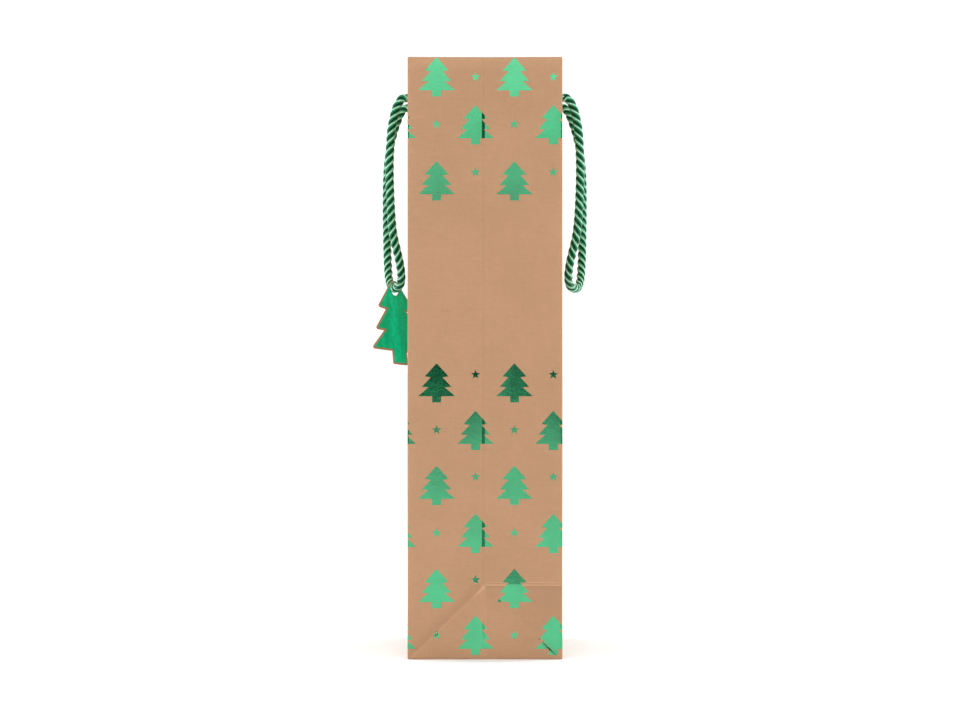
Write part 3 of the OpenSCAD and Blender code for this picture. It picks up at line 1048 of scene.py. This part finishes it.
def grown(outline, by):
    """A clockwise outline moved out by a distance, rounded at its outer corners."""
    moved = []
    for before, here, after in zip(outline[-1:] + outline[:-1], outline, outline[1:] + outline[:1]):
        way_in = math.atan2(here[1] - before[1], here[0] - before[0])
        way_out = math.atan2(after[1] - here[1], after[0] - here[0])
        turn = (way_out - way_in + math.pi) % (2 * math.pi) - math.pi
        if turn < 0:
            moved += arc(here, by, way_in + math.pi / 2, way_in + math.pi / 2 + turn, 5)
        else:
            middle, reach = way_in + turn / 2 + math.pi / 2, by / math.cos(turn / 2)
            moved.append((here[0] + reach * math.cos(middle), here[1] + reach * math.sin(middle)))
    return moved


def round_headed(outline, radius):
    """An outline about the origin with its top replaced by a round of a radius."""
    (x0, y0), (x1, y1) = TREE_HALF[0], TREE_HALF[1]
    slope = math.atan2(x1 - x0, y0 - y1)    # of the tree's first edge, from upright
    shoulder = radius * math.sin(slope)
    body = [p for p in outline if p[1] < shoulder]
    first = next(i for i, p in enumerate(body) if p[0] > 0 and body[i - 1][0] < 0)
    body = body[first:] + body[:first]
    return arc((0, 0), radius, math.pi - slope, slope, 16) + body


def tag_place(flat, depth):
    """From the tag's own plane (right, up, towards its printed face) to the bag's frame."""
    turn = [math.radians(a) for a in TAG_TURN]
    own = np.column_stack([np.full(len(flat), depth), flat[:, 0], flat[:, 1] - TAG_DROP])
    cx, cy, cz = (math.cos(a) for a in turn)
    sx, sy, sz = (math.sin(a) for a in turn)
    about_x = np.array([[1, 0, 0], [0, cx, -sx], [0, sx, cx]])
    about_y = np.array([[cy, 0, sy], [0, 1, 0], [-sy, 0, cy]])
    about_z = np.array([[cz, -sz, 0], [sz, cz, 0], [0, 0, 1]])
    return own @ (about_z @ about_y @ about_x).T + np.array(TAG_PLACE)


def make_tag(card_material, foil_material):
    """The tree-shaped card and the green foil on its face."""
    tree = [(x, y + TAG_TIP) for x, y in tree_outline(TAG_TREE_H)]
    edge_x, edge_y = (a - b for a, b in zip(TREE_HALF[1], TREE_HALF[0]))
    start = (TREE_HALF[0][0] * TAG_TREE_H, TREE_HALF[0][1] * TAG_TREE_H + TAG_TIP)
    reach = abs(edge_x * start[1] - edge_y * start[0]) / math.hypot(edge_x, edge_y)
    hole = circle((0, 0), TAG_HOLE_R)
    card_outline = round_headed(grown(tree, TAG_BORDER), reach + TAG_BORDER)
    card = plate(
        "tag_card", card_outline, card_material,
        lambda flat, depth: tag_place(flat, TAG_T / 2 - depth), TAG_T, [hole])
    sunk = 0.02                             # the foil's foot in the card, and its wider hole
    print_on = plate(
        "tag_foil", round_headed(tree, reach + TAG_BORDER / 2), foil_material,
        lambda flat, depth: tag_place(flat, TAG_T / 2 + FOIL_T - depth), FOIL_T + sunk,
        [grown(hole, -sunk)])
    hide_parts("tag")
    for piece in (card, print_on):
        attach(piece, "hang_tag")
    return card, print_on


# ---------------------------------------------------------------- build
def dress(node, material):
    """Gives a part that is shown as the frame has it its material."""
    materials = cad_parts[node].data.materials
    materials.clear()
    materials.append(material)


make_camera()
make_stage()

kraft = kraft_material("kraft_paper", (0.422, 0.240, 0.134), creased=True)
kraft_plain = kraft_material("kraft_plain", (0.475, 0.285, 0.168))
foil = foil_material()
board = board_material()
satin = satin_material()

tag_pieces = make_tag(kraft_plain, tag_foil_material())
front_rope, front_line = make_handle("front_handle_cord", True, satin)
back_rope, back_line = make_handle("back_handle_cord", False, satin)
for facing in ("front", "back"):
    for word, side in (("left", -1), ("right", 1)):
        name = f"{facing}_{word}"
        make_knot(f"{name}_overhand_knot", f"{name}_knot", facing == "front", side, satin)

paper = make_sheet(kraft)
punch_holes(paper)
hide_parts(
    "front_panel", "back_panel", "left_gusset", "right_gusset",
    "front_hem", "back_hem", "left_hem", "right_hem")
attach(paper, "bag")

tree_places, star_places = print_places()
trees = make_print("foil_trees", tree_outline(TREE_H), tree_places, foil)
stars = make_print("foil_stars", star_outline(STAR_R), star_places, foil)
for piece in (trees, stars):
    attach(piece, "bag")

for node in ("front_top_board", "back_top_board", "base_board"):
    dress(node, board)
make_base_flap("front_base_fold", "front_base_flap", -1, kraft)
make_base_flap("back_base_fold", "back_base_flap", 1, kraft)
make_seam_flap(kraft_plain)
for node in ("left_base_tuck", "right_base_tuck"):
    dress(node, kraft_plain)
